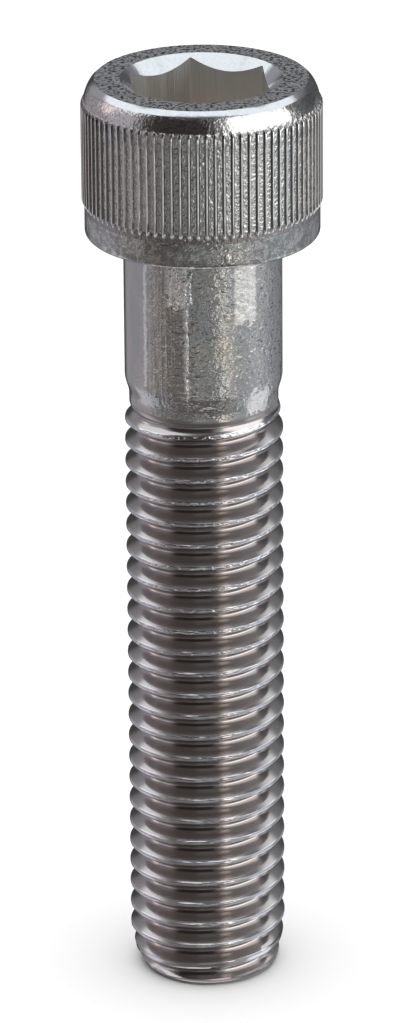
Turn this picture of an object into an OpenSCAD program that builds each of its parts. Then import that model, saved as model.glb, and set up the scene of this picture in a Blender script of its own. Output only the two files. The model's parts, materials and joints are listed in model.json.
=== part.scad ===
/* [Length] */
// Length from the underside of the head to the threaded end
screw_length = 60; // [54:1:80]
// Length of the threaded part, run-out included, measured from the end
thread_length = 46.2; // [30:0.1:48]

/* [Head] */
// Diameter over the knurl teeth
head_diameter = 18; // [17:0.1:20]
// Height of the head
head_height = 12; // [10.5:0.5:16]
// Height of the smooth band between the underside and the knurl
band_height = 2.3; // [1:0.1:4]
// Chamfer at the lower rim of the head
rim_chamfer = 0.35; // [0.2:0.05:0.6]
// Width and height of the turned edge round the flat ring on top
top_edge = 0.4; // [0.2:0.05:0.5]
// Width of the rounded shoulder, from the turned edge out to the band's diameter
shoulder_width = 0.45; // [0.3:0.05:0.8]
// Height of the rounded shoulder
shoulder_height = 1.5; // [1:0.1:2]

/* [Knurl] */
// Number of straight teeth round the head
knurl_teeth = 86; // [60:2:100]
// Height of a tooth over the smooth band
tooth_height = 0.2; // [0.1:0.02:0.3]
// Width of the flat left on the tip of a tooth
tooth_tip_width = 0.14; // [0.1:0.02:0.2]
// Distance from the top of the head to where the teeth begin
knurl_top = 1.5; // [1.3:0.1:2.5]
// Length over which a tooth rises to its full height at either end
tooth_run_out = 0.4; // [0.2:0.1:0.8]

/* [Hex socket] */
// Width across the flats of the socket
socket_width = 10.04; // [8:0.02:10.2]
// Depth of the hexagon, from the top of the head
socket_depth = 6.2; // [5:0.1:7]
// Depth of the shallow cone that the punch leaves under the hexagon
socket_cone_depth = 1; // [0.5:0.1:1.5]
// Width of the countersink beyond the flats, at the mouth
countersink_width = 1.03; // [0.95:0.01:1.3]
// Turn of the hexagon, from one corner straight to the back
socket_turn = 8; // [0:1:59]

/* [Shank] */
// Diameter of the plain shank
shank_diameter = 11.9; // [11.7:0.05:12]
// Radius of the fillet where the shank meets the head
head_fillet = 0.45; // [0.3:0.05:0.6]
// Diameter of the neck, which is the blank that the thread was rolled from
neck_diameter = 11.26; // [11:0.02:11.4]
// Length of the neck between the thread and the taper
neck_length = 1.1; // [0.8:0.1:2]
// Length of the taper from the neck up to the shank
neck_taper = 1.6; // [1:0.1:3]

/* [Thread] */
// Diameter over the crests of the thread
thread_diameter = 11.96; // [11.7:0.02:12]
// Distance from crest to crest
thread_pitch = 1.75; // [1.5:0.05:1.9]
// Half of the angle between the flanks
flank_angle = 30; // [27:0.5:30]
// Height of the thread, from root to crest
thread_height = 1.05; // [0.8:0.05:1.1]
// Width of the flat on a crest
crest_width = 0.22; // [0.1:0.02:0.24]
// Place of the thread's start round the axis
thread_start_angle = 127; // [0:1:359]
// Number of flat facets in one turn of the thread
facets_per_turn = 36; // [24:2:40]

/* [Threaded end] */
// Diameter of the flat end face
end_diameter = 9.56; // [9:0.02:9.8]
// Diameter of the plain lead between the end face and the first crest
lead_diameter = 11.02; // [10.8:0.02:11.2]
// Height of the rounded edge between the end face and the lead
end_edge_height = 0.55; // [0.4:0.05:0.6]
// Height over which the first crest grows out of the lead
crest_rise = 1.2; // [0.6:0.1:1.5]

/* [Hidden] */

$fn = 96;
arc_steps = 6;
overlap = 0.06;

top_z = screw_length + head_height;
head_r = head_diameter / 2;
band_r = head_r - tooth_height;
shoulder_r = band_r - shoulder_width;
shoulder_z = top_z - top_edge - shoulder_height;
shank_r = shank_diameter / 2;
neck_r = neck_diameter / 2;
crest_r = thread_diameter / 2;
root_r = crest_r - thread_height;
lead_r = lead_diameter / 2;
end_r = end_diameter / 2;
taper_z = thread_length + neck_length;

// Points of an elliptical arc, from the angle a0 to the angle a1
function arc(cx, cz, rx, rz, a0, a1) =
    [for (i = [0 : arc_steps]) let (a = a0 + (a1 - a0) * i / arc_steps)
        [cx + rx * cos(a), cz + rz * sin(a)]];

// The shoulder leaves the band upright and leans in until it meets the turned edge
shoulder_arc_r = (pow(shoulder_width, 2) + pow(shoulder_height, 2)) / (2 * shoulder_width);
shoulder_arc = arc(band_r - shoulder_arc_r, shoulder_z, shoulder_arc_r, shoulder_arc_r,
                   0, asin(shoulder_height / shoulder_arc_r));

// Half section of the head without its knurl, as radius and height
head_section = concat(
    [[0, screw_length], [band_r - rim_chamfer, screw_length], [band_r, screw_length + rim_chamfer]],
    shoulder_arc,
    [[shoulder_r - top_edge, top_z], [0, top_z]]);

module head_blank() {
    rotate_extrude() polygon(head_section);
}

// Each tooth has two corners at its tip, and a valley corner just inside the blank
module knurl_outline() {
    step = 360 / knurl_teeth;
    tip = asin(tooth_tip_width / 2 / head_r);
    polygon([for (i = [0 : knurl_teeth - 1]) each [
        head_r * [cos(i * step - tip), sin(i * step - tip)],
        head_r * [cos(i * step + tip), sin(i * step + tip)],
        (band_r - overlap) * [cos((i + 0.5) * step), sin((i + 0.5) * step)]]]);
}

// The ring sets where the teeth start and end, and slopes both their ends
module knurl() {
    low = screw_length + band_height;
    high = top_z - knurl_top;
    inner_r = band_r - 1;
    intersection() {
        translate([0, 0, low]) linear_extrude(high - low) knurl_outline();
        rotate_extrude() polygon([
            [inner_r, low], [band_r - overlap, low], [head_r, low + tooth_run_out],
            [head_r, high - tooth_run_out], [band_r - overlap, high], [inner_r, high]]);
    }
}

// Hexagon, punched bottom and countersunk mouth, taken out of the head as one tool
module socket() {
    flat_r = socket_width / 2;
    floor_z = top_z - socket_depth;
    translate([0, 0, floor_z]) rotate(30 + socket_turn)
        linear_extrude(socket_depth + 1) circle(r = flat_r / cos(30), $fn = 6);
    rotate_extrude() polygon([
        [0, floor_z - socket_cone_depth], [flat_r - overlap, floor_z], [flat_r - overlap, top_z],
        [flat_r, top_z - countersink_width], [flat_r + 2 * countersink_width, top_z + countersink_width],
        [0, top_z + countersink_width]]);
}

// Neck, taper, plain shank and the fillet under the head, turned as one profile
shank_section = concat(
    [[0, thread_length], [neck_r, thread_length], [neck_r, taper_z], [shank_r, taper_z + neck_taper]],
    arc(shank_r + head_fillet, screw_length - head_fillet, head_fillet, head_fillet, 180, 90),
    [[shank_r + head_fillet, screw_length + overlap], [0, screw_length + overlap]]);

module shank() {
    rotate_extrude() polygon(shank_section);
}

// The thread is a ribbon of four rows of points that winds up round the core:
// the low and high side of the root, then the low and high side of the crest
flank_width = thread_height * tan(flank_angle);
root_width = thread_pitch - crest_width - 2 * flank_width;
row_heights = [0, root_width, root_width + flank_width, root_width + flank_width + crest_width];
row_radii = [root_r, root_r, crest_r, crest_r];
rows = len(row_heights);
thread_z = 0.25;
turns = ceil((thread_length - thread_z) / thread_pitch);
columns = turns * facets_per_turn;

// The lead is as high as the ribbon's first turn, so that it holds the ribbon's stepped start
lead_z = thread_z + thread_pitch + 2 * overlap;
end_section = concat(
    [[0, 0]],
    arc(end_r, end_edge_height, lead_r - end_r, end_edge_height, -90, 0),
    [[lead_r, lead_z], [0, lead_z]]);

module threaded_end() {
    rotate_extrude() polygon(end_section);
}

function smooth(x) = let (t = min(1, max(0, x))) t * t * (3 - 2 * t);
function blend(a, b, share) = a + (b - a) * share;

// The crest grows out of the lead, and the whole form fades into the neck
function crest_limit(z) =
    blend(lead_r - overlap, crest_r, smooth((z - lead_z) / crest_rise + 0.5));
function thread_radius(row, z) =
    blend(neck_r - overlap, min(row_radii[row], crest_limit(z)),
          smooth((thread_length + overlap - z) / thread_pitch));
function thread_point(column, row) =
    let (z = thread_z + thread_pitch * column / facets_per_turn + row_heights[row],
         a = thread_start_angle + 360 * column / facets_per_turn,
         r = thread_radius(row, z))
    [r * cos(a), r * sin(a), z];

module thread() {
    function at(column, row) = column * rows + row;
    points = [for (c = [0 : columns]) for (r = [0 : rows - 1]) thread_point(c, r)];
    low_centre = len(points);
    high_centre = low_centre + 1;
    low_loop = concat([for (c = [0 : facets_per_turn]) at(c, 0)],
                      [for (r = [rows - 1 : -1 : 1]) at(0, r)]);
    high_loop = concat([for (c = [columns - facets_per_turn : columns]) at(c, rows - 1)],
                       [for (r = [rows - 2 : -1 : 0]) at(columns, r)]);
    within_turn = [for (c = [0 : columns - 1]) for (r = [0 : rows - 2])
        [at(c, r), at(c + 1, r), at(c + 1, r + 1), at(c, r + 1)]];
    to_next_turn = [for (c = [0 : columns - facets_per_turn - 1]) let (above = c + facets_per_turn)
        [at(c, rows - 1), at(c + 1, rows - 1), at(above + 1, 0), at(above, 0)]];
    sides = [for (q = concat(within_turn, to_next_turn)) each [[q[0], q[3], q[2]], [q[0], q[2], q[1]]]];
    low_cap = [for (i = [0 : len(low_loop) - 1])
        [low_centre, low_loop[i], low_loop[(i + 1) % len(low_loop)]]];
    high_cap = [for (i = [0 : len(high_loop) - 1])
        [high_centre, high_loop[(i + 1) % len(high_loop)], high_loop[i]]];
    polyhedron(
        points = concat(points, [[0, 0, thread_z + thread_pitch / 2],
                                 [0, 0, thread_z + thread_pitch * (turns + 0.5)]]),
        faces = concat(sides, low_cap, high_cap));
}

// One piece: cold-forged head, turned edge, rolled knurl and rolled thread
module cap_screw() {
    color("silver") union() {
        difference() {
            union() {
                head_blank();
                knurl();
                shank();
            }
            socket();
        }
        threaded_end();
        thread();
    }
}

cap_screw();
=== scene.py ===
import json
import math

import bmesh
import bpy
from mathutils import Matrix, Vector


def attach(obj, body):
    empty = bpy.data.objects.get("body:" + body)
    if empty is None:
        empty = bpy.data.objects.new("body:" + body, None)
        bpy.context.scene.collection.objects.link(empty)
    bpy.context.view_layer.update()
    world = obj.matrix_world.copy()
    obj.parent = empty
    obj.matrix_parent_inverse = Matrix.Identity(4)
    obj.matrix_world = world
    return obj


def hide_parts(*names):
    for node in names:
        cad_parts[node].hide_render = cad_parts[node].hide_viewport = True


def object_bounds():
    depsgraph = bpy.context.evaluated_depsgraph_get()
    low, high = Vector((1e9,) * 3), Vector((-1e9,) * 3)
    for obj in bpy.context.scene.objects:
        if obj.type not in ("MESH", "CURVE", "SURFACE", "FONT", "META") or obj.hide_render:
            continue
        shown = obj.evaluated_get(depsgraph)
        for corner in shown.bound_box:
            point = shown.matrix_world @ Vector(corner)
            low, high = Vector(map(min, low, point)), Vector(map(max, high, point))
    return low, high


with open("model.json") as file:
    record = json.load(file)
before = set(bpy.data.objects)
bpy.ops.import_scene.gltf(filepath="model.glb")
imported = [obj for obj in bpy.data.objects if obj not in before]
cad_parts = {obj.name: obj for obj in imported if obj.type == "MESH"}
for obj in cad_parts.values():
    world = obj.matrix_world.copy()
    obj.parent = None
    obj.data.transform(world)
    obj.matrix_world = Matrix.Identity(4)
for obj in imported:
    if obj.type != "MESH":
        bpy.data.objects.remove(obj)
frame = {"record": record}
cad_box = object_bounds()

# The shank
# A cap screw starts as a length of stainless wire, drawn through a die and cut. The shank keeps
# the drawn skin: fine streaks along it, and the nicks of screws that were tumbled together. Below
# it the blank narrows to a neck, where the rolling dies start. All sizes are in mm.

MM = 0.001
mounts = {mount["name"]: mount for mount in frame["record"]["mounts"]}
shank_length = mounts["shank"]["dims"]["length_mm"]
top_z = cad_box[1].z / MM
head_r = cad_box[1].x / MM
under_z = mounts["bearing_face"]["pos_m"][2] / MM
shank_r = mounts["shank"]["dims"]["r_mm"]
shank_low_z = mounts["shank"]["pos_m"][2] / MM - shank_length / 2
shank_high_z = mounts["shank"]["pos_m"][2] / MM + shank_length / 2
fillet_r = under_z - shank_high_z

neck_r = 5.63
neck_low_z = 46.9
taper_low_z = 47.3
columns = 128
taper_steps = 8
shank_steps = 12
fillet_steps = 5

screw_parts = bmesh.new()
screw_parts.verts.layers.float.new("crest_share")
finishes = []


def linear(hex_colour, strength=1.0):
    """A colour in sRGB hex as linear red, green, blue and alpha."""
    parts = [int(hex_colour[i:i + 2], 16) / 255 for i in (1, 3, 5)]
    levels = [p / 12.92 if p <= 0.04045 else ((p + 0.055) / 1.055) ** 2.4 for p in parts]
    return [strength * level for level in levels] + [1.0]


def add(tree, kind, inputs=(), **settings):
    """Adds a node with its settings. An input, by place or name, is a value, a node or a socket."""
    node = tree.nodes.new(kind)
    for name, value in settings.items():
        setattr(node, name, value)
    for key, value in inputs.items() if isinstance(inputs, dict) else enumerate(inputs):
        if isinstance(value, bpy.types.Node):
            value = value.outputs[0]
        if isinstance(value, bpy.types.NodeSocket):
            tree.links.new(value, node.inputs[key])
        elif value is not None:
            node.inputs[key].default_value = value
    return node


def steel(name, colour, roughness):
    """A finish of bare stainless steel, with its node tree, its shader and places on it in mm."""
    finish = bpy.data.materials.new(name)
    finish.use_nodes = True
    shader = finish.node_tree.nodes["Principled BSDF"]
    shader.inputs["Metallic"].default_value = 1.0
    shader.inputs["Base Color"].default_value = linear(colour)
    shader.inputs["Roughness"].default_value = roughness
    place = add(finish.node_tree, "ShaderNodeVectorMath",
                {0: add(finish.node_tree, "ShaderNodeTexCoord").outputs["Object"], "Scale": 1 / MM},
                operation="SCALE")
    return finish, finish.node_tree, shader, place


def bearing(tree, place):
    """Degrees round from the camera's side to the right, and the height, of a place or direction."""
    x, y, z = add(tree, "ShaderNodeSeparateXYZ", [place]).outputs
    front = add(tree, "ShaderNodeMath", [y, -1.0], operation="MULTIPLY")
    turn = add(tree, "ShaderNodeMath", [x, front], operation="ARCTAN2")
    return add(tree, "ShaderNodeMath", [turn], operation="DEGREES"), z


def product(tree, *patterns):
    """All the patterns multiplied together."""
    result = patterns[0]
    for pattern in patterns[1:]:
        result = add(tree, "ShaderNodeMath", [result, pattern], operation="MULTIPLY")
    return result


def within(tree, value, low, high, soft):
    """1 between low and high, 0 outside, with an edge that is soft wide."""
    rise = add(tree, "ShaderNodeMapRange", [value, low - soft / 2, low + soft / 2])
    fall = add(tree, "ShaderNodeMapRange", [value, high + soft / 2, high - soft / 2])
    return product(tree, rise, fall)


def patches(tree, place, size, low, high, stretch=(1, 1, 1), detail=2.0, shift=0.0, tilt=0.0):
    """Irregular patches about as wide as size in mm: 0 where the noise is under low, 1 over high."""
    spot = add(tree, "ShaderNodeMapping",
               {0: place, "Location": (shift, shift, shift), "Rotation": (0, tilt, 0),
                "Scale": [size * s for s in stretch]}, vector_type="TEXTURE")
    noise = add(tree, "ShaderNodeTexNoise", {"Vector": spot, "Scale": 1.0, "Detail": detail})
    return add(tree, "ShaderNodeMapRange", [noise, low, high])


def layered(tree, colour, *layers):
    """A colour with others laid over it, each given as its pattern and its hex or layered colour."""
    for pattern, over in layers:
        under, over = [linear(each) if isinstance(each, str) else each for each in (colour, over)]
        colour = add(tree, "ShaderNodeMix", {0: pattern, 6: under, 7: over},
                     data_type="RGBA").outputs[2]
    return colour


def coat(tree, shader, colour, share, smooth, rough):
    """Gives a shader a layered colour, and a roughness that follows a pattern."""
    tree.links.new(colour, shader.inputs["Base Color"])
    roughness = add(tree, "ShaderNodeMapRange", [share, 0, 1, smooth, rough])
    tree.links.new(roughness.outputs[0], shader.inputs["Roughness"])


def relief(tree, shader, layers):
    """Raises the surface by patterns, each given with its height in mm."""
    normal = None
    for pattern, height in layers:
        normal = add(tree, "ShaderNodeBump", {"Height": pattern, "Strength": 1.0,
                                              "Distance": height * MM, "Normal": normal})
    tree.links.new(normal.outputs[0], shader.inputs["Normal"])


# Sides of the shank, in degrees round from the front, and how soft their edges are. The smooth
# side has shallow marks, the streaked sides have the die's lines, and the dented side broad dents.
SMOOTH_SIDE = (-107, -45, 8)
STREAKED_SIDE = (-45, -8, 5)
FAR_STREAKED_SIDE = (-168, -112, 8)
DENTED_SIDE = (30, 165, 20)

# Places with a painted highlight, where the skin is also rougher, and places where it is battered:
# degrees round from the front, and mm up the screw. A noise lets their edges wander by up to these
# degrees and mm.
PAINTED_HIGHLIGHT_PLACES = [(23, 41, 54.6, 61), (-48, -45.6, 49.4, 58.6), (35, 57, 46.9, 48.9),
                 (120, 133, 50, 55), (-150, -139, 52, 61), (-100, -97, 49, 60)]
BATTERED_PLACES = [(-27, -9, 56, 61), (-13.7, -11.6, 48.6, 57), (95, 110, 54, 60),
                   (-133, -117, 49, 53.5), (158, 172, 55, 60)]
wander_turn = 3
wander_rise = 1.4
soft_turn = 2
soft_rise = 0.2


def marked(tree, around, up, places):
    """1 in the places, with around and up moved by the noise."""
    result = 0
    for left, right, low, high in places:
        beside = within(tree, around, left + wander_turn / 2, right + wander_turn / 2, soft_turn)
        level = within(tree, up, low + wander_rise / 2, high + wander_rise / 2, soft_rise)
        result = add(tree, "ShaderNodeMath", [result, product(tree, beside, level)],
                     operation="MAXIMUM")
    return result


# Real streaks, nicks and pits are finer than the render can show, so here and on the head they
# are drawn coarser. A pattern's own shift keeps it from lining up with another.
drawn, tree, shader, place = steel("drawn_stainless", "#cbc7c4", 0.16)
around, up = bearing(tree, place)
bumpy = add(tree, "ShaderNodeMapRange", [within(tree, around, *SMOOTH_SIDE), 0, 1, 1, 0.12])
streaked = add(tree, "ShaderNodeMath", [within(tree, around, *STREAKED_SIDE),
                                        within(tree, around, *FAR_STREAKED_SIDE)],
               operation="MAXIMUM")
streaks = product(tree, streaked,
                  patches(tree, place, 0.3, 0.3, 0.7, stretch=(1, 1, 24), detail=3))
bulges = product(tree, within(tree, around, *DENTED_SIDE),
                 patches(tree, place, 0.42, 0.3, 0.7, stretch=(1, 1, 1.3), detail=3, shift=11))
dents = product(tree, bumpy, patches(tree, place, 0.5, 0.35, 0.65, detail=2, shift=17))
nicks = product(tree, bumpy,
                patches(tree, place, 0.26, 0.6, 0.68, stretch=(2, 2, 0.6), detail=2, shift=5))
scratches = product(tree, bumpy, patches(tree, place, 0.08, 0.68, 0.72, stretch=(1, 1, 14),
                                         detail=1, shift=29, tilt=0.8))
grain = patches(tree, place, 0.2, 0.35, 0.65, detail=2, shift=3)
worn = patches(tree, place, 2.2, 0.4, 0.6, stretch=(1, 1, 1.6), detail=3, shift=23)
wander = patches(tree, place, 0.5, 0.2, 0.8, detail=4, shift=41)
around = add(tree, "ShaderNodeMath", [wander, wander_turn, around], operation="MULTIPLY_ADD")
up = add(tree, "ShaderNodeMath", [wander, wander_rise, up], operation="MULTIPLY_ADD")
battered = product(tree, marked(tree, around, up, BATTERED_PLACES),
                   patches(tree, place, 0.38, 0.35, 0.65, stretch=(1, 1, 1.3), detail=3, shift=31))
# The highlight places, and more weakly the battered places, get a painted highlight in their colour and
# a rougher skin.
painted_highlight = product(tree, marked(tree, around, up, PAINTED_HIGHLIGHT_PLACES),
                 add(tree, "ShaderNodeMapRange", [grain, 0, 1, 0.7, 1]))
painted_highlight = add(tree, "ShaderNodeMath", [painted_highlight, product(tree, battered, 0.35)], operation="MAXIMUM")
skin_colour = layered(tree, "#cdc9c4", (worn, "#c0c3c3"), (product(tree, nicks, worn), "#8a8480"),
                      (painted_highlight, "#fffdf8"))
coat(tree, shader, skin_colour, painted_highlight, 0.14, 0.44)
relief(tree, shader, [(streaks, 0.026), (bulges, 0.052), (battered, 0.32), (dents, 0.024),
                      (nicks, -0.034), (scratches, -0.032), (product(tree, grain, bumpy), 0.008)])


def arc(centre_r, centre_z, radius_r, radius_z, start, end, steps):
    """Points of an elliptical arc of a section, as radius and height, with its angles in degrees."""
    angles = [math.radians(start + (end - start) * i / steps) for i in range(steps + 1)]
    return [(centre_r + radius_r * math.cos(a), centre_z + radius_z * math.sin(a)) for a in angles]


def ring(radius, height, count):
    """A level ring of points round the axis, in metres. One of no radius is a single point."""
    angles = [2 * math.pi * i / count for i in range(count if radius else 1)]
    return [Vector((radius * math.cos(a), radius * math.sin(a), height)) * MM for a in angles]


def slot_of(finish):
    """The number of a finish on the screw, which gets its place the first time it is used."""
    if finish not in finishes:
        finishes.append(finish)
    return finishes.index(finish)


def skin(rings, finish):
    """Joins rings of points with faces, and gives back the rings as they are in the screw."""
    rows = [[screw_parts.verts.new(point) for point in points] for points in rings]
    for low, high in zip(rows, rows[1:]):
        count = max(len(low), len(high))
        for i in range(count):
            j = (i + 1) % count
            corners = [low[i % len(low)], low[j % len(low)], high[j % len(high)], high[i % len(high)]]
            face = screw_parts.faces.new(dict.fromkeys(corners))
            face.material_index = slot_of(finish)
    return rows


shank_section = [(neck_r, neck_low_z)]
for i in range(taper_steps + 1):
    widening = 0.5 - 0.5 * math.cos(math.pi * i / taper_steps)
    shank_section.append((neck_r + (shank_r - neck_r) * widening,
                          taper_low_z + (shank_low_z - taper_low_z) * i / taper_steps))
shank_section += [(shank_r, shank_low_z + (shank_high_z - shank_low_z) * i / shank_steps)
                  for i in range(1, shank_steps)]
shank_section += arc(shank_r + fillet_r, shank_high_z, fillet_r, fillet_r, 180, 90, fillet_steps)
shank_rows = skin([ring(r, z, columns) for r, z in shank_section], drawn)

# The thread
# The thread isn't cut but rolled between two flat dies, which press the grooves into the neck and
# squeeze the crests up out of it. The flanks come out burnished. On each crest the raised metal
# meets in a seam, which shows as a broken bright line on the upper turns. At the end the crests
# start low, and a chamfer cuts the first turns.

pitch = 1.75
crest_r = 5.98
root_r = 4.93
flank_slope = 1 / math.tan(math.radians(30))
crest_width = 0.3
crest_rounding = 0.16
root_rounding = 0.4
thread_low_z = -2.01
thread_turns = 28
thread_rows = 16
row_crowding = 0.6
end_r = 4.78
end_edge = 0.12
rim_r = 4.9
rim_steps = 3
chamfer_slope = 1.3
first_crest_r = 5.5
crest_low_z = 0.3
crest_rise = 3.2
neck_fade_z = 46.8
weld_distance = 0.002
seam_low_z = 22
seam_full_z = 34

# crest_share goes from 0 at the root to 1 at the middle of the crest. The crest's smoother finish
# with its lighter colour, a painted highlight, and its seam, start at the first of these shares and
# are full at the second.
CREST_EDGE = (0.76, 0.86)
SEAM_EDGE = (0.86, 0.93)

rolled, tree, shader, place = steel("rolled_stainless", "#cbc5c2", 0.12)
crest_share = add(tree, "ShaderNodeAttribute", attribute_name="crest_share").outputs["Fac"]
on_crest = add(tree, "ShaderNodeMapRange", [crest_share, *CREST_EDGE])
on_seam = add(tree, "ShaderNodeMapRange", [crest_share, *SEAM_EDGE])
height = add(tree, "ShaderNodeSeparateXYZ", [place]).outputs[2]
upper_turns = add(tree, "ShaderNodeMapRange", [height, seam_low_z, seam_full_z, 0.1, 1])
dotted = patches(tree, place, 0.34, 0.5, 0.6, stretch=(1.6, 1.6, 0.6), detail=1)
seam = product(tree, on_seam, dotted, upper_turns)
rough_crest = product(tree, on_crest, patches(tree, place, 0.5, 0.35, 0.65,
                                              stretch=(2.8, 2.8, 0.5), detail=2, shift=9))
burnish = patches(tree, place, 0.5, 0.3, 0.7, stretch=(8, 8, 0.5), detail=2, shift=4)
# The crest's lighter colour is a painted highlight.
coat(tree, shader, layered(tree, "#bcb6b4", (on_crest, "#e0dfe2")), on_crest, 0.17, 0.09)
relief(tree, shader, [(burnish, 0.0015), (rough_crest, 0.009), (seam, -0.032)])

turn_sizes = {
    "Pitch": pitch * MM, "Turns": thread_turns, "Columns": columns, "Rows": thread_rows,
    "Row crowding": row_crowding, "Low end": thread_low_z * MM,
    "Sharp crest radius": (crest_r + crest_width / 2 * flank_slope) * MM,
    "Crest radius": crest_r * MM, "Root radius": root_r * MM, "Flank slope": flank_slope,
    "Crest rounding": crest_rounding * MM, "Root rounding": root_rounding * MM,
    "Rim radius": rim_r * MM, "Rim height": end_edge * MM, "Chamfer slope": chamfer_slope,
    "First crest radius": first_crest_r * MM,
    "Crest start": crest_low_z * MM, "Crest rise": crest_rise * MM,
    "Neck radius": neck_r * MM, "Neck low": neck_low_z * MM, "Neck fade": neck_fade_z * MM,
    "Weld distance": weld_distance * MM,
}


def new_maker(name, sizes):
    """A Geometry Nodes tree with a mesh in and out, and a named number in for each size."""
    tree = bpy.data.node_groups.new(name, "GeometryNodeTree")
    tree.interface.new_socket("Mesh", in_out="INPUT", socket_type="NodeSocketGeometry")
    for size, value in sizes.items():
        kind = "NodeSocketInt" if isinstance(value, int) else "NodeSocketFloat"
        tree.interface.new_socket(size, in_out="INPUT", socket_type=kind)
    tree.interface.new_socket("Mesh", in_out="OUTPUT", socket_type="NodeSocketGeometry")
    return tree, tree.nodes.new("NodeGroupInput").outputs


def made_by(tree, sizes, start_mesh):
    """The plain mesh that a tree makes of another with these sizes."""
    maker = bpy.data.objects.new(tree.name, start_mesh)
    bpy.context.scene.collection.objects.link(maker)
    modifier = maker.modifiers.new(tree.name, "NODES")
    modifier.node_group = tree
    for item in tree.interface.items_tree:
        if item.in_out == "INPUT" and item.name in sizes:
            modifier[item.identifier] = sizes[item.name]
    evaluated = maker.evaluated_get(bpy.context.evaluated_depsgraph_get())
    made = bpy.data.meshes.new_from_object(evaluated)
    bpy.data.objects.remove(maker)
    return made


def gradual(tree, value, start, length):
    """0 before start, 1 from start plus length, and a smooth rise between them."""
    past_start = add(tree, "ShaderNodeMath", [value, start], operation="SUBTRACT")
    share = add(tree, "ShaderNodeMath", [past_start, length], operation="DIVIDE")
    return add(tree, "ShaderNodeMapRange", [share], interpolation_type="SMOOTHSTEP")


def between(tree, share, a, b):
    """The number that lies at a share of the way from a to b."""
    whole_way = add(tree, "ShaderNodeMath", [b, a], operation="SUBTRACT")
    return add(tree, "ShaderNodeMath", [whole_way, share, a], operation="MULTIPLY_ADD")


# A flat sheet is wound up. One side of it runs along the helix, and the other across one turn.
tree, size = new_maker("rolled_thread", turn_sizes)
points_along = add(tree, "ShaderNodeMath", [size["Turns"], size["Columns"], 1.0],
                   operation="MULTIPLY_ADD")
points_across = add(tree, "ShaderNodeMath", [size["Rows"], 1.0], operation="ADD")
sheet = add(tree, "GeometryNodeMeshGrid", {"Size X": 1.0, "Size Y": 1.0, "Vertices X": points_along,
                                           "Vertices Y": points_across})
on_sheet = add(tree, "ShaderNodeSeparateXYZ", [add(tree, "GeometryNodeInputPosition")]).outputs
share_along = add(tree, "ShaderNodeMath", [on_sheet[0], 0.5], operation="ADD")
along = add(tree, "ShaderNodeMath", [share_along, size["Turns"]], operation="MULTIPLY")
angle = add(tree, "ShaderNodeMath", [along, 2 * math.pi], operation="MULTIPLY")

# Rows crowd together at the crest and at the root, where the section bends.
even = add(tree, "ShaderNodeMath", [on_sheet[1], 0.5], operation="ADD")
two_waves = add(tree, "ShaderNodeMath", [even, 4 * math.pi], operation="MULTIPLY")
wave = add(tree, "ShaderNodeMath", [two_waves], operation="SINE")
crowding = add(tree, "ShaderNodeMath", [size["Row crowding"], -1 / (4 * math.pi)],
               operation="MULTIPLY")
across = add(tree, "ShaderNodeMath", [wave, crowding, even], operation="MULTIPLY_ADD")

# Points that would lie past the end's rim or the neck are held there.
turns_up = add(tree, "ShaderNodeMath", [along, across], operation="ADD")
height = add(tree, "ShaderNodeMath", [turns_up, size["Pitch"], size["Low end"]],
             operation="MULTIPLY_ADD")
height = add(tree, "ShaderNodeMath", [height, size["Rim height"]], operation="MAXIMUM")
height = add(tree, "ShaderNodeMath", [height, size["Neck low"]], operation="MINIMUM")

# The section's radius starts as two flanks that meet in a sharp crest, and is then rounded there
# and at the root, kept low at the first crests, cut by the chamfer and faded into the neck.
off_middle = add(tree, "ShaderNodeMath", [across, 0.5], operation="SUBTRACT")
from_crest = add(tree, "ShaderNodeMath", [off_middle], operation="ABSOLUTE")
below_crest = add(tree, "ShaderNodeMath", [from_crest, size["Pitch"]], operation="MULTIPLY")
fall = add(tree, "ShaderNodeMath", [below_crest, size["Flank slope"]], operation="MULTIPLY")
section = add(tree, "ShaderNodeMath", [size["Sharp crest radius"], fall], operation="SUBTRACT")
section = add(tree, "ShaderNodeMath", [section, size["Crest radius"], size["Crest rounding"]],
              operation="SMOOTH_MIN")
section = add(tree, "ShaderNodeMath", [section, size["Root radius"], size["Root rounding"]],
              operation="SMOOTH_MAX")
crest_limit = between(tree, gradual(tree, height, size["Crest start"], size["Crest rise"]),
                      size["First crest radius"], size["Crest radius"])
section = add(tree, "ShaderNodeMath", [section, crest_limit], operation="MINIMUM")
above_rim = add(tree, "ShaderNodeMath", [height, size["Rim height"]], operation="SUBTRACT")
chamfer = add(tree, "ShaderNodeMath", [above_rim, size["Chamfer slope"], size["Rim radius"]],
              operation="MULTIPLY_ADD")
section = add(tree, "ShaderNodeMath", [section, chamfer], operation="MINIMUM")
fade_start = add(tree, "ShaderNodeMath", [size["Neck fade"], size["Pitch"]], operation="SUBTRACT")
section = between(tree, gradual(tree, height, fade_start, size["Pitch"]), section,
                  size["Neck radius"])

cosine = add(tree, "ShaderNodeMath", [angle], operation="COSINE")
sine = add(tree, "ShaderNodeMath", [angle], operation="SINE")
position = add(tree, "ShaderNodeCombineXYZ", [
    add(tree, "ShaderNodeMath", [section, cosine], operation="MULTIPLY"),
    add(tree, "ShaderNodeMath", [section, sine], operation="MULTIPLY"), height])
turns = add(tree, "GeometryNodeStoreNamedAttribute", {
    "Geometry": sheet, "Name": "crest_share",
    "Value": add(tree, "ShaderNodeMapRange", [from_crest, 0.5, 0.0])}, data_type="FLOAT")
turns = add(tree, "GeometryNodeSetPosition", {"Geometry": turns, "Position": position})
turns = add(tree, "GeometryNodeMergeByDistance", {"Geometry": turns,
                                                  "Distance": size["Weld distance"]})
turns = add(tree, "GeometryNodeRealizeInstances", [turns])
turns = add(tree, "GeometryNodeSetMaterial", {"Geometry": turns, "Material": rolled})
add(tree, "NodeGroupOutput", [turns])
thread_mesh = made_by(tree, turn_sizes, bpy.data.meshes.new("thread_start"))

end_section = [(0, 0), (end_r / 2, 0)]
end_section += arc(end_r, end_edge, rim_r - end_r, end_edge, -90, 0, rim_steps)
skin([ring(r, z, columns) for r, z in end_section], rolled)

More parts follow.
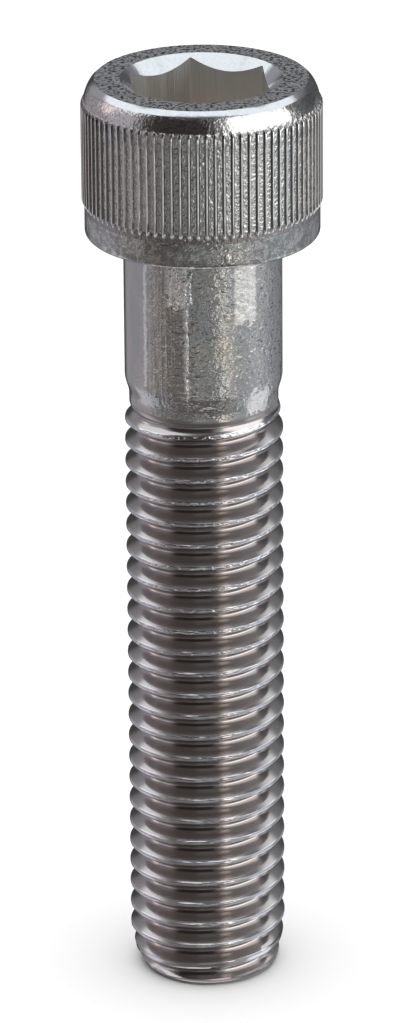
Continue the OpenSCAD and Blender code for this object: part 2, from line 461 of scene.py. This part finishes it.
# The head
# The head is upset cold in a die, which leaves the rounded shoulder and the small rim below. The
# skin has the fine pits of the die and the marks of handling. A tool then turns the bright edge
# round the flat ring on top, which keeps the coarser pits of the wire's cut end.

tooth_height = 0.2
band_r = head_r - tooth_height
rim_chamfer = 0.35
rim_chamfer_steps = 4
rim_high_z = under_z + 1.0
top_edge = 0.4
shoulder_width = 0.45
shoulder_height = 1.5
shoulder_z = top_z - top_edge - shoulder_height
shoulder_arc_r = (shoulder_width ** 2 + shoulder_height ** 2) / (2 * shoulder_width)
shoulder_r = band_r - shoulder_width
flat_r = shoulder_r - top_edge

# The band below the knurl is blotched and scratched up to here. The shoulder's clean side, with
# its left and right edge and their softness in degrees, starts and is full at these heights.
blotched_z = under_z + 2.4
unblotched_z = under_z + 2.8
CLEAN_SIDE = (13, 53, 6)
clean_low_z = 68.6
clean_full_z = 69.0

forged, tree, shader, place = steel("forged_stainless", "#cbc7c4", 0.12)
around, up = bearing(tree, place)
on_band = add(tree, "ShaderNodeMapRange", [up, unblotched_z, blotched_z])
clean = product(tree, within(tree, around, *CLEAN_SIDE),
                add(tree, "ShaderNodeMapRange", [up, clean_low_z, clean_full_z]))
handled = add(tree, "ShaderNodeMapRange", [clean, 0, 1, 1.0, 0.22])
pits = product(tree, handled, patches(tree, place, 0.2, 0.52, 0.64, detail=2))
dents = patches(tree, place, 0.45, 0.3, 0.7, detail=2, shift=7)
grain = product(tree, handled, patches(tree, place, 0.18, 0.2, 0.8, detail=2, shift=3))
blotches = product(tree, on_band, patches(tree, place, 0.55, 0.42, 0.58, detail=4, shift=13))
scratches = product(tree, on_band, patches(tree, place, 0.07, 0.66, 0.7, stretch=(1, 1, 16),
                                           detail=1, tilt=0.9))
skin_colour = layered(tree, "#d2d0ce", (pits, "#aaa6a4"), (blotches, "#a0a5a3"),
                      (scratches, "#ffffff"))
coat(tree, shader, skin_colour, pits, 0.07, 0.13)
relief(tree, shader, [(dents, 0.009), (grain, 0.016), (blotches, 0.012)])

pitted, tree, shader, place = steel("pitted_stainless", "#cbc7c4", 0.25)
pits = patches(tree, place, 0.3, 0.49, 0.57, detail=4)
grain = patches(tree, place, 0.15, 0.2, 0.8, detail=3, shift=3)
cloudy = patches(tree, place, 1.2, 0.35, 0.65, detail=3, shift=17)
coat(tree, shader, layered(tree, "#eef0f1", (pits, "#504e51")), cloudy, 0.2, 0.34)
relief(tree, shader, [(grain, 0.035), (pits, -0.02)])

turned, tree, shader, place = steel("turned_stainless", "#d0d0d2", 0.14)
wrinkles = patches(tree, place, 0.3, 0.3, 0.7, detail=3)
coat(tree, shader, layered(tree, "#d6d8da", (wrinkles, "#ced0d2")), wrinkles, 0.09, 0.15)
relief(tree, shader, [(wrinkles, 0.0025)])

# The knurl
# The teeth are pressed in by a wheel, so they stand a little proud of the smooth band below them
# and end in slopes. The wheel leaves the valleys between them rough. The tips and the slopes at the
# low end have a painted highlight, and the flanks and the valleys at the low end a painted shade.

teeth = 86
tooth_low_z = under_z + 2.3
tooth_high_z = top_z - 1.5
tooth_run_out = 0.4
full_low_z = tooth_low_z + tooth_run_out
knurl_base_z = tooth_low_z - 0.3
run_out_steps = 4
side_steps = 6
shoulder_steps = 12

# Half the width of a tooth in mm, at these shares of its height.
TOOTH_SECTION = [(0.16, 0.0), (0.11, 0.45), (0.06, 0.87)]

# Where a change of finish, painted highlight or painted shade starts and is full, as distances from
# the axis. The last are heights.
VALLEY_EDGE = (band_r + 0.1, band_r + 0.02)
TIP_EDGE = (head_r - 0.035, head_r - 0.015)
FLANK_TOP = (head_r - 0.025, head_r - 0.05)
FLANK_FOOT = (band_r + 0.005, band_r + 0.03)
SLOPE_FOOT = (band_r + 0.02, band_r + 0.05)
LOW_END = (full_low_z + 0.05, full_low_z - 0.05)

knurled, tree, shader, place = steel("knurled_stainless", "#cbc7c4", 0.16)
level = add(tree, "ShaderNodeVectorMath", {0: place, 1: (1, 1, 0)}, operation="MULTIPLY")
out = add(tree, "ShaderNodeVectorMath", [level], operation="LENGTH").outputs["Value"]
height = add(tree, "ShaderNodeSeparateXYZ", [place]).outputs[2]
in_valley = add(tree, "ShaderNodeMapRange", [out, *VALLEY_EDGE])
tip_highlight = add(tree, "ShaderNodeMapRange", [out, *TIP_EDGE])
flank_shade = product(tree, add(tree, "ShaderNodeMapRange", [out, *FLANK_TOP]),
                   add(tree, "ShaderNodeMapRange", [out, *FLANK_FOOT]))
low_slope_highlight = add(tree, "ShaderNodeMapRange", [out, *SLOPE_FOOT])
at_low_end = add(tree, "ShaderNodeMapRange", [height, *LOW_END])
bubbles = product(tree, in_valley,
                  patches(tree, place, 0.24, 0.35, 0.65, stretch=(1, 1, 1.2), detail=2))
uneven = patches(tree, place, 0.35, 0.3, 0.7, stretch=(1, 1, 2), detail=2, shift=8)
# Painted highlights on the tips and on the slopes at the low end, painted shade on the flanks and in
# the valleys at the low end.
low_end_shade_and_highlight = layered(tree, "#a8a4a3", (low_slope_highlight, "#ffffff"))
tooth_colour = layered(tree, "#e2e4e3", (flank_shade, "#857f7d"), (tip_highlight, "#ffffff"),
                       (at_low_end, low_end_shade_and_highlight))
coat(tree, shader, tooth_colour, in_valley, 0.16, 0.24)
relief(tree, shader, [(bubbles, 0.04), (uneven, 0.012)])

left_side = [(-half_width, share) for half_width, share in TOOTH_SECTION]
right_side = [(half_width, share) for half_width, share in TOOTH_SECTION[::-1]]
tooth_points_across = left_side + [(0, 1)] + right_side
half_gap = math.pi / teeth
tooth_turns = [-half_gap] + [side / head_r for side, share in tooth_points_across] + [half_gap]
tooth_shares = [0] + [share for side, share in tooth_points_across] + [0]


def head_radius(z):
    """Radius of the head without its teeth, on the band and on the shoulder."""
    if z <= shoulder_z:
        return band_r
    return band_r - shoulder_arc_r + math.sqrt(shoulder_arc_r ** 2 - (z - shoulder_z) ** 2)


def tooth_share(z):
    """How much of its full height a tooth has at z: none at its ends."""
    return max(0.0, min(1.0, (z - tooth_low_z) / tooth_run_out, (tooth_high_z - z) / tooth_run_out))


tooth_heights = [knurl_base_z]
tooth_heights += [tooth_low_z + tooth_run_out * i / run_out_steps for i in range(run_out_steps + 1)]
tooth_heights += [full_low_z + (shoulder_z - full_low_z) * i / side_steps
                  for i in range(1, side_steps + 1)]
tooth_heights += [shoulder_z + shoulder_height * i / shoulder_steps
                  for i in range(1, shoulder_steps + 1)]
tooth_points = []
for z in tooth_heights:
    for turn, share in zip(tooth_turns, tooth_shares):
        r = head_radius(z) + (head_r - head_radius(z)) * share * tooth_share(z)
        tooth_points.append(Vector((r * math.cos(turn), r * math.sin(turn), z)) * MM)
across_tooth = len(tooth_turns)
tooth_faces = [(row * across_tooth + i, row * across_tooth + i + 1,
                (row + 1) * across_tooth + i + 1, (row + 1) * across_tooth + i)
               for row in range(len(tooth_heights) - 1) for i in range(across_tooth - 1)]
tooth_mesh = bpy.data.meshes.new("tooth")
tooth_mesh.from_pydata(tooth_points, [], tooth_faces)

# The tree sets the tooth round the head. Above the teeth the same faces are the bare shoulder.
wheel_sizes = {"Teeth": teeth, "Tooth top": tooth_high_z * MM, "Weld distance": weld_distance * MM}
tree, size = new_maker("knurl", wheel_sizes)
whole_turns = add(tree, "ShaderNodeMath", [add(tree, "GeometryNodeInputIndex"), 2 * math.pi],
                  operation="MULTIPLY")
turn = add(tree, "ShaderNodeMath", [whole_turns, size["Teeth"]], operation="DIVIDE")
row = add(tree, "GeometryNodeInstanceOnPoints", {
    "Points": add(tree, "GeometryNodeMeshLine", {"Count": size["Teeth"], "Offset": (0, 0, 0)}),
    "Instance": size["Mesh"], "Rotation": add(tree, "ShaderNodeCombineXYZ", {2: turn})})
row = add(tree, "GeometryNodeRealizeInstances", [row])
row = add(tree, "GeometryNodeMergeByDistance", {"Geometry": row, "Distance": size["Weld distance"]})
row = add(tree, "GeometryNodeSetMaterial", {"Geometry": row, "Material": knurled})
height = add(tree, "ShaderNodeSeparateXYZ", [add(tree, "GeometryNodeInputPosition")]).outputs[2]
above = add(tree, "ShaderNodeMath", [height, size["Tooth top"]], operation="GREATER_THAN")
row = add(tree, "GeometryNodeSetMaterial", {"Geometry": row, "Selection": above, "Material": forged})
add(tree, "NodeGroupOutput", [row])
knurl_mesh = made_by(tree, wheel_sizes, tooth_mesh)


def head_ring(radius, height):
    """A level ring with a point at each side of each tooth, so that it meets the knurl."""
    angles = [2 * math.pi * tooth / teeth + turn for tooth in range(teeth) for turn in tooth_turns[:-1]]
    return [Vector((radius * math.cos(a), radius * math.sin(a), height)) * MM for a in angles]


rim_section = [(band_r - rim_chamfer, under_z)]
rim_section += arc(band_r - rim_chamfer, under_z + rim_chamfer, rim_chamfer, rim_chamfer, -80, 0,
                   rim_chamfer_steps)
rim_section += [(band_r, rim_high_z), (band_r, knurl_base_z)]
rim_rows = skin([head_ring(r, z) for r, z in rim_section], forged)


def bridge(loop, other_loop, finish):
    """Fills the flat ring between two loops that have different numbers of points."""
    pairs = [pair for row in (loop, other_loop) for pair in zip(row, row[1:] + row[:1])]
    edges = [screw_parts.edges.get(pair) for pair in pairs]
    for face in bmesh.ops.bridge_loops(screw_parts, edges=edges)["faces"]:
        face.material_index = slot_of(finish)


bridge(shank_rows[-1], rim_rows[0], forged)

# The tool's cut slopes from the shoulder to the flat ring, and is eased at both ends.
low_ease_in = 0.04
low_ease_up = 0.06
high_ease_out = 0.06
high_ease_down = 0.05
edge_section = [(shoulder_r, top_z - top_edge),
                (shoulder_r - low_ease_in, top_z - top_edge + low_ease_up),
                (flat_r + high_ease_out, top_z - high_ease_down), (flat_r, top_z)]
edge_rows = skin([head_ring(r, z) for r, z in edge_section], turned)

# The socket
# A hexagonal punch forms the socket while the head is cold. It leaves fine upright lines on the
# six walls and a shallow cone at the bottom. A countersink opens the mouth and meets the flat
# walls in six scallops.

socket_flat = 5.02
countersink_r = 6.05
socket_floor_z = 65.8
socket_cone = 1.0
socket_turn = math.radians(38)
corner_rounding = 0.03
corner_r = socket_flat / math.cos(math.pi / 6) - corner_rounding
socket_columns = 384
mouth_steps = 2
wall_steps = 4

# The walls turn from cool to a warmer, darker painted shade between these heights.
wall_cool_z = top_z - 0.8
wall_warm_z = top_z - 4.5

punched, tree, shader, place = steel("punched_stainless", "#e8e2da", 0.3)
height = add(tree, "ShaderNodeSeparateXYZ", [place]).outputs[2]
deep_shade = add(tree, "ShaderNodeMapRange", [height, wall_cool_z, wall_warm_z])
upright = patches(tree, place, 0.16, 0.3, 0.7, stretch=(1, 1, 30), detail=3)
smears = patches(tree, place, 0.7, 0.35, 0.65, stretch=(1, 1, 5), detail=3, shift=6)
# Deeper down the walls get a warm painted shade.
wall_colour = layered(tree, "#eceeed", (smears, "#dfe3e1"), (deep_shade, "#dcd5cd"))
coat(tree, shader, wall_colour, smears, 0.3, 0.42)
relief(tree, shader, [(upright, 0.02), (smears, 0.004)])


def socket_ring(radius_and_height):
    """A ring with a point in each corner of the hexagon, placed by the radius of the wall there."""
    points = []
    for i in range(socket_columns):
        a = socket_turn + 2 * math.pi * i / socket_columns
        from_middle = abs((i * 6 / socket_columns) % 1 - 0.5) * math.pi / 3
        r, z = radius_and_height(min(socket_flat / math.cos(from_middle), corner_r))
        points.append(Vector((r * math.cos(a), r * math.sin(a), z)) * MM)
    return points


def mouth_z(wall_r):
    """Height at which the countersink meets the wall."""
    return top_z - (countersink_r - wall_r)


def mouth_ring(down):
    """A ring at a share of the way down the countersink."""
    return socket_ring(lambda wall_r: (countersink_r * (1 - down) + wall_r * down,
                                       top_z * (1 - down) + mouth_z(wall_r) * down))


def wall_ring(down):
    """A ring at a share of the way down the walls."""
    return socket_ring(lambda wall_r: (wall_r, mouth_z(wall_r) * (1 - down) + socket_floor_z * down))


mouth_rows = skin([mouth_ring(step / mouth_steps) for step in range(mouth_steps + 1)], turned)
bridge(edge_rows[-1], mouth_rows[0], pitted)
skin([wall_ring(step / wall_steps) for step in range(wall_steps + 1)], punched)
skin([socket_ring(lambda wall_r: (wall_r, socket_floor_z)),
      socket_ring(lambda wall_r: (wall_r / 2, socket_floor_z - socket_cone / 2)),
      ring(0, socket_floor_z - socket_cone, 1)], punched)

# The whole screw
# All of it is one piece of steel, so the skins are welded into one closed mesh. Its edges are
# sharp where two skins meet at an angle, and smooth along the tips of the teeth.

sliver_length = 0.0001
sharp_bend = math.radians(38)
tooth_tip_r = head_r - 0.01


def take_in(mesh):
    """Adds a made mesh to the screw, with its own finishes."""
    known = len(screw_parts.faces)
    screw_parts.from_mesh(mesh)
    screw_parts.faces.ensure_lookup_table()
    for face in screw_parts.faces[known:]:
        face.material_index = slot_of(mesh.materials[face.material_index])


take_in(thread_mesh)
take_in(knurl_mesh)
bmesh.ops.remove_doubles(screw_parts, verts=screw_parts.verts, dist=weld_distance * MM)
bmesh.ops.dissolve_degenerate(screw_parts, edges=screw_parts.edges, dist=sliver_length * MM)
bmesh.ops.recalc_face_normals(screw_parts, faces=screw_parts.faces)
for face in screw_parts.faces:
    face.smooth = True
for edge in screw_parts.edges:
    tooth_tip = all(vert.co.xy.length > tooth_tip_r * MM for vert in edge.verts)
    edge.smooth = tooth_tip or edge.calc_face_angle(0) < sharp_bend
screw_mesh = bpy.data.meshes.new("hex_socket_cap_screw")
screw_parts.to_mesh(screw_mesh)
screw_parts.free()
for finish in finishes:
    screw_mesh.materials.append(finish)
screw = bpy.data.objects.new("hex_socket_cap_screw", screw_mesh)
bpy.context.scene.collection.objects.link(screw)
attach(screw, "root")
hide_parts("cap_screw")

# The floor and the light
# The screw stands on a plain white floor under a wide lamp. The steel doesn't mirror the floor. It
# mirrors a studio room with softboxes above and on the right, a lamp on the left and pale walls.
# Sizes here are in metres.

floor_half = 6.0
lamp_width = 3.0
lamp_height = 2.2
lamp_watts = 92

floor_mesh = bpy.data.meshes.new("floor")
floor_mesh.from_pydata([(-floor_half, -floor_half, 0), (floor_half, -floor_half, 0),
                        (floor_half, floor_half, 0), (-floor_half, floor_half, 0)],
                       [], [(0, 1, 2, 3)])
floor = bpy.data.objects.new("floor", floor_mesh)
bpy.context.scene.collection.objects.link(floor)
floor_paint = bpy.data.materials.new("white_floor")
floor_paint.use_nodes = True
paint = floor_paint.node_tree.nodes["Principled BSDF"]
paint.inputs["Base Color"].default_value = linear("#f4f4f4")
paint.inputs["Roughness"].default_value = 0.9
floor_mesh.materials.append(floor_paint)
floor.visible_glossy = False

world = bpy.data.worlds.new("studio")
bpy.context.scene.world = world
world.use_nodes = True
world.cycles_visibility.diffuse = False
room = world.node_tree
room.nodes.clear()
toward = add(room, "ShaderNodeTexCoord").outputs["Generated"]
azimuth, up = bearing(room, toward)
radians_up = add(room, "ShaderNodeMath", [up], operation="ARCSINE")
elevation = add(room, "ShaderNodeMath", [radians_up], operation="DEGREES")

# Each part of the room: azimuths and elevations in degrees, its soft edge, colour and brightness.
# Azimuth 0 is the camera's side, and 90 is the right. A part hides those before it.
ROOM_GREY = ("#fafcff", 0.27)
ROOM_PARTS = [
    ("ceiling in front", -95, 150, 46, 62, 8, "#ffffff", 0.2),
    ("ceiling", -181, 181, 60, 91, 8, "#ffffff", 0.2),
    ("dark behind on the left", -181, -155, -36, 15, 8, "#ffffff", 0.07),
    ("dark behind on the right", 155, 181, -36, 15, 8, "#ffffff", 0.07),
    ("dark wall on the right", 116, 160, -12, 20, 10, "#f0f6ff", 0.12),
    ("bright wall behind on the right", 120, 168, 37, 52, 6, "#f6f8ff", 0.6),
    ("bright wall behind on the left", -170, -118, 30, 50, 6, "#f8f6ff", 0.95),
    ("wall on the left", -150, -82, -28, 36, 12, "#f6f2fc", 0.42),
    ("lamp on the left", -113, -97, 5, 24, 8, "#fff0f2", 1.6),
    ("floor on the left", -128, -90, -52, -26, 8, "#f4f2ff", 0.75),
    ("near wall on the left", -100, -58, -20, 30, 12, "#f6f2fc", 0.56),
    ("dark room in front", -62, 15, -14, 50, 16, "#fff2f0", 0.05),
    ("table on the left", -94, -58, -31, -14, 8, "#fff5f0", 0.32),
    ("table in front", -62, -18, -31, -14, 6, "#fff5ec", 0.22),
    ("middle of the table", -18, 22, -31, -14, 4, "#f8fffd", 0.38),
    ("dark floor in front", -66, 34, -66, -31, 24, "#fff6f2", 0.13),
    ("table beside the strip", 18, 44, -31, -4, 6, "#fffaf4", 0.2),
    ("bright strip of table", 23, 40, -26, -18, 4, "#fffaf2", 1.85),
    ("table to the right", 40, 62, -31, -4, 4, "#fcffff", 0.5),
    ("table under the softbox", 62, 112, -31, -4, 6, "#f4f8ff", 0.6),
    ("floor to the right", 36, 76, -60, -31, 20, "#ffffff", 0.36),
    ("bright floor on the right", 75, 128, -56, -31, 8, "#f0f6ff", 1.1),
    ("table behind on the right", 112, 158, -31, -12, 6, "#f4f4ff", 0.38),
    ("floor below", -181, 181, -91, -64, 8, "#fff8f4", 1.0),
    ("wall beside the softbox", 94, 118, -4, 36, 6, "#f0f6ff", 0.2),
    ("edge of the softbox", 15, 32, -8, 44, 10, "#ffffff", 0.42),
    ("softbox on the right", 27, 96, -4, 43, 7, "#ffffff", 1.95),
]
seen = add(room, "ShaderNodeRGB")
seen.outputs[0].default_value = linear(*ROOM_GREY)
for name, left, right, low, high, soft, colour, brightness in ROOM_PARTS:
    share = product(room, within(room, azimuth, left, right, soft),
                    within(room, elevation, low, high, soft))
    seen = add(room, "ShaderNodeMix", {0: share, 6: seen, 7: linear(colour, brightness)},
               label=name, data_type="RGBA").outputs[2]

# The softboxes above are flat panels, so their edges lie at shares of their height: left, right,
# front and back, and how soft they are. Directions that rise less than least_rise see none.
PANELS = [(-0.85, 0.85, -0.48, 0.05, 0.08), (-1.9, -0.7, -0.4, 1.2, 0.25),
          (0.7, 1.9, -0.4, 0.95, 0.25)]
PANEL_LIGHT = ("#f6fbff", 1.32)
least_rise = 0.05
x, y, z = add(room, "ShaderNodeSeparateXYZ", [toward]).outputs
above = add(room, "ShaderNodeMath", [z, least_rise], operation="MAXIMUM")
sideways = add(room, "ShaderNodeMath", [x, above], operation="DIVIDE")
backwards = add(room, "ShaderNodeMath", [y, above], operation="DIVIDE")
for left, right, front, back, soft in PANELS:
    share = product(room, within(room, sideways, left, right, soft),
                    within(room, backwards, front, back, soft),
                    add(room, "ShaderNodeMath", [z, least_rise], operation="GREATER_THAN"))
    seen = add(room, "ShaderNodeMix", {0: share, 6: seen, 7: linear(*PANEL_LIGHT)},
               data_type="RGBA").outputs[2]
add(room, "ShaderNodeOutputWorld", [add(room, "ShaderNodeBackground", [seen])])

# A wide soft lamp lights the floor. The steel doesn't mirror it.
lamp_data = bpy.data.lights.new("floor_lamp", "AREA")
lamp_data.shape = "DISK"
lamp_data.size = lamp_width
lamp_data.energy = lamp_watts
floor_lamp = bpy.data.objects.new("floor_lamp", lamp_data)
floor_lamp.location = (0, 0, lamp_height)
floor_lamp.visible_camera = False
floor_lamp.visible_glossy = False
bpy.context.scene.collection.objects.link(floor_lamp)
bpy.context.scene.view_settings.view_transform = "Standard"

# The camera
# It looks down on the screw through a long lens, with the head a little to the left.

camera_elevation = math.radians(22)
camera_distance = 0.480
camera_roll = math.radians(-0.4585)
camera_target = Vector((-0.36, 0, 37.42)) * MM
camera_data = bpy.data.cameras.new("camera")
camera_data.sensor_width = 36
camera_data.lens = 222.5
camera_data.clip_start = 0.01
camera = bpy.data.objects.new("camera", camera_data)
camera.location = camera_target + camera_distance * Vector(
    (0, -math.cos(camera_elevation), math.sin(camera_elevation)))
camera.rotation_euler = (Matrix.Rotation(math.pi / 2 - camera_elevation, 3, "X")
                         @ Matrix.Rotation(camera_roll, 3, "Z")).to_euler()
bpy.context.scene.collection.objects.link(camera)
bpy.context.scene.camera = camera
